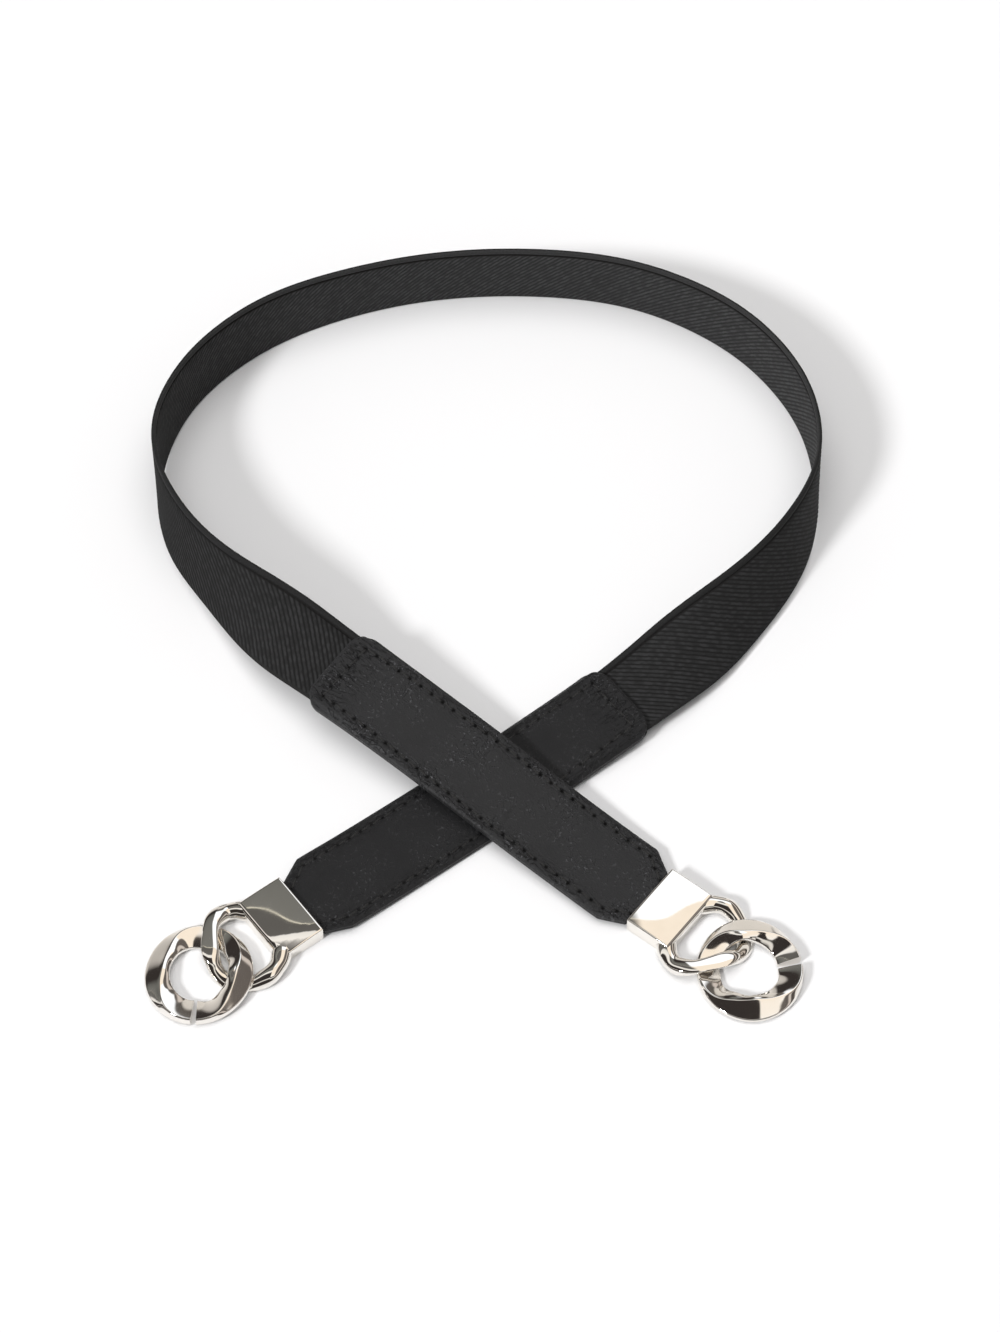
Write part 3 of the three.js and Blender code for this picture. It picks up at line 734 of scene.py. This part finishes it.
def curveThrough(points, share, closed=False):
    # a smooth curve through rows of points, at a share from 0 to 1 of their number
    count = len(points) if closed else len(points) - 1
    t = share * count
    i = min(int(t), count - 1)
    t -= i
    pick = [(i + k) % count if closed else min(max(i + k, 0), count) for k in (-1, 0, 1, 2)]
    before, start, end, after = (points[k] for k in pick)
    return 0.5 * (2 * start + (end - before) * t + (2 * before - 5 * start + 4 * end - after) * t * t
                  + (3 * start - before - 3 * end + after) * t * t * t)


def wireFrame(centre, travel, roll):
    travel = Vector(travel).normalized()
    level = Vector((0, 0, 1)).cross(travel).normalized()
    up = travel.cross(level)
    across = level * math.cos(roll) + up * math.sin(roll)
    return Vector(centre), across, up * math.cos(roll) - level * math.sin(roll)


def halfLink(linkAside):
    rows, columns = linkWire["rows"], linkWire["columns"]
    top, low = clampLook["flat"] - linkWire["topStart"], linkWire["lowStart"]
    nearby = 0.004  # share of the course over which the wire's direction is read

    def middleAt(share):
        away, aside, lift = curveThrough(linkCourse, min(max(share, 0.0), 1.0))
        return np.array([away, aside + linkAside, linkWire["middle"] + lift * linkWire["lift"]])

    def placeOf(row, column):
        share = row / rows
        centre = middleAt(share)
        travel = middleAt(share + nearby) - middleAt(share - nearby)
        roll = math.atan(2 * (centre[2] - linkWire["middle"]) / linkWire["bulge"])
        middle, across, outward = wireFrame(centre, travel, roll)
        thin = float(smoothstep(centre[0], *linkWire["thinning"]))
        width, depth = (root * (1 - thin) + slim * thin
                        for root, slim in zip(linkWire["root"], linkWire["thin"]))
        swell = math.sin(math.tau * linkWire["ripples"] * share + linkWire["rippleStart"])
        ripple = 1 + linkWire["ripple"] * swell
        angle = 2 * math.pi * column / columns
        spot = middle + ripple * (across * (math.cos(angle) * width / 2)
                                  + outward * (math.sin(angle) * depth / 2))
        if spot.z > linkWire["topStart"]:
            spot.z = linkWire["topStart"] + top * math.tanh((spot.z - linkWire["topStart"]) / top)
        if spot.z < low:
            spot.z = low - low * math.tanh((low - spot.z) / low)
        return spot

    bm = rolledGrid(rows, columns, placeOf)
    fillHoles(bm)
    faceOut(bm)
    return meshFrom(bm, "linkDraft")


def clampBlock(side):
    length, width = clampLook["length"], clampLook["width"]
    bm = bmesh.new()
    bmesh.ops.create_cube(bm, size=1.0)
    for vert in bm.verts:
        front = vert.co.x > 0
        top = clampLook["frontHeight"] if front else clampLook["mouthHeight"]
        vert.co = (length if front else 0, vert.co.y * width, top if vert.co.z > 0 else 0)
    frontEdge = [edge for edge in bm.edges if all(v.co.x > 1 and v.co.z > 1 for v in edge.verts)]
    for edges, cut, segments in ((frontEdge, clampLook["chamfer"], 1), (None, clampLook["edge"], 3)):
        bmesh.ops.bevel(bm, geom=edges or bm.edges[:], offset=cut, offset_type="OFFSET", segments=segments,
                        profile=0.5, affect="EDGES", clamp_overlap=True, material=-1)
    # the pocket: a face inside the mouth's, set to the pocket's own size and pushed in
    depth, pocketWidth, pocketHeight, pocketMiddle = clampLook["pocket"]
    mouth = max((face for face in bm.faces if face.normal.x < -0.99), key=lambda face: face.calc_area())
    bmesh.ops.inset_region(bm, faces=[mouth], thickness=0.3, use_even_offset=True)
    for vert in mouth.verts:
        vert.co.y = math.copysign(pocketWidth / 2, vert.co.y)
        vert.co.z = pocketMiddle + math.copysign(pocketHeight / 2, vert.co.z - pocketMiddle)
    deeper = bmesh.ops.extrude_face_region(bm, geom=[mouth])["geom"]
    bmesh.ops.delete(bm, geom=[mouth], context="FACES_ONLY")
    bmesh.ops.translate(bm, vec=(depth, 0, 0),
                        verts=[part for part in deeper if isinstance(part, bmesh.types.BMVert)])
    margin, cuts = clampLook["cutMargin"], clampLook["cuts"]
    for axis, low, high in ((0, margin, length - margin), (1, margin - width / 2, width / 2 - margin)):
        for i in range(cuts):
            place = [0, 0, 0]
            normal = [0, 0, 0]
            place[axis] = low + (high - low) * i / (cuts - 1)
            normal[axis] = 1
            cutAt(bm, place, normal)
    nearSide = 1 if side == "left" else -1  # the clamp's side that is towards the viewer
    ahead, beside = clampLook["toViewer"]
    once, twice = clampLook["bow"][side]
    for vert in bm.verts:
        x, y, z = vert.co
        if z > clampLook["topFrom"]:
            away, aside = x - length / 2, y * nearSide
            dome = 0.5 * clampLook["domeAlong"] * away ** 2 + 0.5 * clampLook["domeAcross"] * aside ** 2
            vert.co.z -= dome
            diagonal = (away * length - aside * width) / (length ** 2 + width ** 2)
            slope = once * math.cos(math.pi * diagonal) - twice * math.sin(math.tau * diagonal)
            vert.co.z -= (-ahead * away - beside * aside) * slope
            past = aside - clampLook["bevelStart"] + clampLook["bevelTurn"] * away
            if side == "left":
                ground = (past + math.hypot(past, clampLook["bevelBlend"])) / 2
                vert.co.z -= clampLook["bevelSlope"] * ground
    faceOut(bm)
    return meshFrom(bm, "blockDraft")


def joined(blockMesh, linkMesh):
    # the casting is one body: the half link is merged into the block
    block = bpy.data.objects.new("blockDraft", blockMesh)
    link = bpy.data.objects.new("linkDraft", linkMesh)
    for draft in (block, link):
        scene.collection.objects.link(draft)
    merge = block.modifiers.new("merge", "BOOLEAN")
    merge.operation = "UNION"
    merge.solver = "EXACT"
    merge.object = link
    bpy.context.view_layer.update()
    mesh = bpy.data.meshes.new_from_object(block.evaluated_get(bpy.context.evaluated_depsgraph_get()))
    for draft, draftMesh in ((block, blockMesh), (link, linkMesh)):
        bpy.data.objects.remove(draft)
        bpy.data.meshes.remove(draftMesh)
    return mesh


# rings
ringLook = {
    "rows": 168,
    "slitAngle": 184.0,
    "slitRadius": 12.0,  # where the slit's width is measured
    "foot": 0.3,  # how far the underside is drawn in from the edges above it
    "radii": (0.5, 0.4, 0.5, 0.9, 0.9),  # of the inner edge, ridge, outer edge and the two undersides
    "crowns": (0.14, 0.03, 0.1, 0.0, 0.1),  # how far the side after each of them bulges
    # depth, number and start of the ridge's, the inner edge's and the outer edge's ripples
    "ripples": ((0.1, 5, 0.0), (0.18, 8, 0.4), (0.1, 6, 2.1)),
    "cornerSteps": 4,
    "sideSteps": 6,
}
# The ring's section all the way round: angle, then radius and height of its outer edge, of the
# ridge between its two ground facets and of its inner edge, then the heights of its outer and
# inner undersides. It dips under the half link at 0, and lies over it at 270.
ringSections = np.array([
    (0, 15.1, 2.2, 14.5, 2.8, 8.1, 1.2, 0.0, 0.0),
    (30, 15.2, 2.2, 13.9, 3.2, 8.6, 1.8, 0.0, 0.2),
    (60, 15.4, 2.0, 11.1, 3.9, 8.3, 3.2, 0.2, 0.8),
    (90, 15.6, 1.9, 10.3, 4.3, 8.3, 3.5, 0.4, 1.1),
    (120, 15.6, 2.0, 11.7, 4.3, 8.3, 3.1, 0.3, 0.9),
    (150, 15.5, 2.6, 14.5, 4.0, 8.5, 2.6, 0.0, 0.3),
    (180, 15.4, 3.0, 15.0, 3.7, 8.1, 1.8, 0.0, 0.0),
    (210, 15.3, 2.9, 14.4, 4.0, 8.6, 1.8, 0.2, 0.4),
    (240, 15.5, 3.2, 11.6, 4.9, 8.4, 3.1, 1.0, 1.4),
    (270, 15.6, 3.4, 10.8, 5.2, 8.4, 4.6, 2.3, 2.5),
    (300, 15.4, 3.0, 12.6, 4.7, 8.5, 3.6, 1.2, 1.7),
    (330, 15.2, 2.5, 14.2, 3.4, 8.8, 2.1, 0.2, 0.4),
])


def roundedLoop(corners):
    # the corners' outline with each corner rounded and each side bulged a little
    count, cornerSteps, sideSteps = len(corners), ringLook["cornerSteps"], ringLook["sideSteps"]
    most = 0.42  # a rounding takes up no more of a side than this share
    points = []
    for i, corner in enumerate(corners):
        before, after = corners[i - 1], corners[(i + 1) % count]
        toBefore, toAfter = before - corner, after - corner
        cut = min(ringLook["radii"][i], most * toBefore.length, most * toAfter.length)
        start = corner + toBefore.normalized() * cut
        end = corner + toAfter.normalized() * cut
        for k in range(cornerSteps + 1):
            t = k / cornerSteps
            points.append(start * (1 - t) ** 2 + corner * 2 * t * (1 - t) + end * t ** 2)
        # the side to the next corner
        nextCut = min(ringLook["radii"][(i + 1) % count], most * toAfter.length)
        far = after - toAfter.normalized() * nextCut
        outwards = Vector((toAfter.y, -toAfter.x)).normalized() * -ringLook["crowns"][i]
        for k in range(1, sideSteps):
            t = k / sideSteps
            points.append(end * (1 - t) + far * t + outwards * 4 * t * (1 - t))
    return points


def ringMesh(name, place, stretch, slit):
    rows, foot = ringLook["rows"], ringLook["foot"]
    slitHalf = math.degrees(slit / 2 / ringLook["slitRadius"])
    start = ringLook["slitAngle"] + slitHalf
    sweepAngle = 360.0 - 2 * slitHalf
    loops = []
    for row in range(rows + 1):
        angle = start + sweepAngle * row / rows
        section = curveThrough(ringSections, (angle % 360.0) / 360.0, closed=True)
        _, outerR, outerZ, ridgeR, ridgeZ, innerR, innerZ, outerLow, innerLow = section
        turn = math.radians(angle)
        ridgeRise, innerRise, outerRise = (
            depth * math.sin(count * turn + offset) for depth, count, offset in ringLook["ripples"])
        corners = [Vector((innerR, innerZ + innerRise)), Vector((ridgeR, ridgeZ + ridgeRise)),
                   Vector((outerR, outerZ + outerRise)), Vector((outerR - foot, max(outerLow, 0.0))),
                   Vector((innerR + foot, max(innerLow, 0.0)))]
        loops.append([Vector((p.x * math.cos(turn) * stretch[0], p.x * math.sin(turn) * stretch[1], p.y))
                      for p in roundedLoop(corners)])
    bm = rolledGrid(rows, len(loops[0]), lambda row, column: loops[row][column])
    fillHoles(bm)
    faceOut(bm)
    bm.transform(place)
    return meshFrom(bm, name)


for end in tabEnds:
    side = end["side"]
    stand = (Matrix.Scale(metre, 4) @ Matrix.Translation((end["x"], end["y"], 0))
             @ Matrix.Rotation(math.radians(end["heading"]), 4, "Z"))
    casting = joined(clampBlock(side), halfLink(end["linkAside"]))
    casting.transform(stand)
    addPiece(f"{side}ClampCasting", casting, castPlating, f"{side}_clamp", 30)
    ringPlace = (stand @ Matrix.Translation((end["ringAway"], end["ringAside"], 0))
                 @ Matrix.Rotation(math.radians(end["ringTurn"]), 4, "Z"))
    ring = ringMesh(f"{side}CurbRing", ringPlace, end["ringStretch"], end["ringSlit"])
    addPiece(f"{side}CurbRing", ring, linkPlating, f"{side}_ring", 30)
print("hardware cast")

# table, light and surroundings
studio = {
    "tableSize": 6.0,
    "tableTone": "#e9e9ea",
    "keyStrength": 2.1,
    "keyFrom": (-0.9, -0.79, 0.935),
    "keySpread": 10.5,  # degrees
    "around": 0.33,  # soft light from all round, and how much more comes from overhead
    "overhead": 2.45,
    "overheadRim": (0.82, 0.95),  # how steep a direction has to be for it
    "roomEdge": (60.5, 60.8),  # degrees: the dark room's main edge, which is sharp,
    "pastEdge": 20.0,  # because beyond it the ramps are read this much further on
    "rampSpan": 200.0,  # degrees that a ramp covers
    "roomLean": 0.168,  # how much the rooms' sides lean over towards the back
    "wallFrom": (0.07, 0.1),  # how far to the right the bright wall and the dusk beyond it begin
    "duskFrom": (0.46, 0.51),
    "fillTone": (1.0, 0.99, 0.98, 1.0),
    "backdrop": 0.97,  # how white it is beyond the table
}
bm = bmesh.new()
bmesh.ops.create_grid(bm, x_segments=2, y_segments=2, size=studio["tableSize"] / 2)
tableMesh = meshFrom(bm, "table")
# Coated white card, matt: a plain pale ground that shows the belt's soft shadows and no gloss.
board, tree, shader = newMaterial("mattWhiteBoard")
shader.inputs["Base Color"].default_value = colour(studio["tableTone"])
shader.inputs["Roughness"].default_value = 0.75
tableMesh.materials.append(board)
table = bpy.data.objects.new("table", tableMesh)
scene.collection.objects.link(table)

keyData = bpy.data.lights.new("keyLight", "SUN")
keyData.energy = studio["keyStrength"]
keyData.angle = math.radians(studio["keySpread"])
keyLight = bpy.data.objects.new("keyLight", keyData)
keyLight.rotation_euler = (-Vector(studio["keyFrom"])).to_track_quat("-Z", "Y").to_euler()
scene.collection.objects.link(keyLight)

# What polished metal sees, by its angle from the horizon behind the belt over the zenith to the
# horizon in front: a pale sweep all round, a dark room at the left, a bright wall at the right and
# dusk beyond it.
world = bpy.data.worlds.new("studio")
world.use_nodes = True
scene.world = world
tree = world.node_tree
tree.nodes.clear()
direction = addNode(tree, "TexCoord", {})
parts = addNode(tree, "SeparateXYZ", {0: direction.outputs["Generated"]})
rightward, backward, upward = parts.outputs
turn = addNode(tree, "Math", {0: upward, 1: backward}, operation="ARCTAN2")
degrees = addNode(tree, "Math", {0: turn}, operation="DEGREES")
edgeStart, edgeEnd = studio["roomEdge"]
edge = addNode(tree, "MapRange", {0: degrees, 1: edgeStart, 2: edgeEnd, 3: 0.0, 4: studio["pastEdge"]})
pastEdge = addNode(tree, "Math", {0: degrees, 1: edge}, operation="ADD")
rise = addNode(tree, "Math", {0: pastEdge, 1: 1 / studio["rampSpan"]}, operation="MULTIPLY")
aside = addNode(tree, "Math", {0: backward, 1: studio["roomLean"], 2: rightward}, operation="MULTIPLY_ADD")
atRight, beyond = (addNode(tree, "MapRange", {0: aside, 1: low, 2: high},
                           interpolation_type="SMOOTHSTEP")
                   for low, high in (studio["wallFrom"], studio["duskFrom"]))


def fillRamp(node, stops, span):
    elements = node.color_ramp.elements
    while len(elements) < len(stops):
        elements.new(1.0)
    for element, (place, shade) in zip(elements, stops):
        element.position = place / span
        element.color = shade + (1,)


# linear RGB, which passes white where a wall is lit; the last three are warm lights
pale, dark, strip = (0.95, 0.93, 0.9), (0.04, 0.034, 0.032), (0.85, 0.82, 0.78)
lamp, glow, ember = (0.8, 0.76, 0.64), (1.1, 0.98, 0.84), (0.7, 0.63, 0.58)
leftRoom = addNode(tree, "ValToRGB", {0: rise})
fillRamp(leftRoom, [
    (0, pale), (13, (0.8, 0.76, 0.72)), (28, (0.55, 0.52, 0.49)), (33, dark), (46, dark),
    (52, (0.15, 0.15, 0.14)), (60.6, (0.215, 0.213, 0.2)), (66, lamp), (75, lamp),
    (80.8, (0.13, 0.125, 0.118)), (89, (0.14, 0.136, 0.13)), (91.5, pale), (101, (1.05, 1.02, 0.98)),
    (106, dark), (144, dark), (147, strip), (152, strip), (155, dark), (186, dark), (194, pale),
], studio["rampSpan"])
rightRoom = addNode(tree, "ValToRGB", {0: rise})
fillRamp(rightRoom, [
    (0, pale), (15, (0.8, 0.76, 0.71)), (32, (0.72, 0.68, 0.63)), (35, (0.12, 0.108, 0.098)),
    (43, (0.14, 0.128, 0.118)), (46, (1.28, 1.32, 1.38)), (62, (1.3, 1.34, 1.4)), (80.5, glow),
    (118, glow), (140, (1.12, 1.08, 1.02)), (144, dark), (150, dark), (153, strip), (158, strip),
    (161, dark), (186, dark), (194, pale),
], studio["rampSpan"])
dusk = addNode(tree, "ValToRGB", {0: upward})
fillRamp(dusk, [
    (0.0, pale), (0.16, strip), (0.22, (0.11, 0.095, 0.088)), (0.46, (0.09, 0.078, 0.072)), (0.5, ember),
    (0.58, ember), (0.63, (0.14, 0.122, 0.112)), (1.0, (0.16, 0.142, 0.13)),
], 1.0)
wall = addNode(tree, "Mix", {0: atRight, 6: leftRoom, 7: rightRoom}, data_type="RGBA")
room = addNode(tree, "Mix", {0: beyond, 6: wall.outputs[2], 7: dusk}, data_type="RGBA")
roomLight = addNode(tree, "Background", {"Color": room.outputs[2], "Strength": 1.0})
rimStart, rimEnd = studio["overheadRim"]
overhead = addNode(tree, "MapRange", {0: upward, 1: rimStart, 2: rimEnd, 3: studio["around"],
                                      4: studio["around"] + studio["overhead"]},
                   interpolation_type="SMOOTHSTEP")
fillLight = addNode(tree, "Background", {"Color": studio["fillTone"], "Strength": overhead})
backdrop = addNode(tree, "Background", {"Color": (1, 1, 1, 1), "Strength": studio["backdrop"]})
ray = addNode(tree, "LightPath", {})
soft = addNode(tree, "MixShader", {0: ray.outputs["Is Glossy Ray"], 1: fillLight, 2: roomLight})
seen = addNode(tree, "MixShader", {0: ray.outputs["Is Camera Ray"], 1: soft, 2: backdrop})
addNode(tree, "OutputWorld", {"Surface": seen})
world.cycles.sampling_method = "NONE"
print("studio lit")
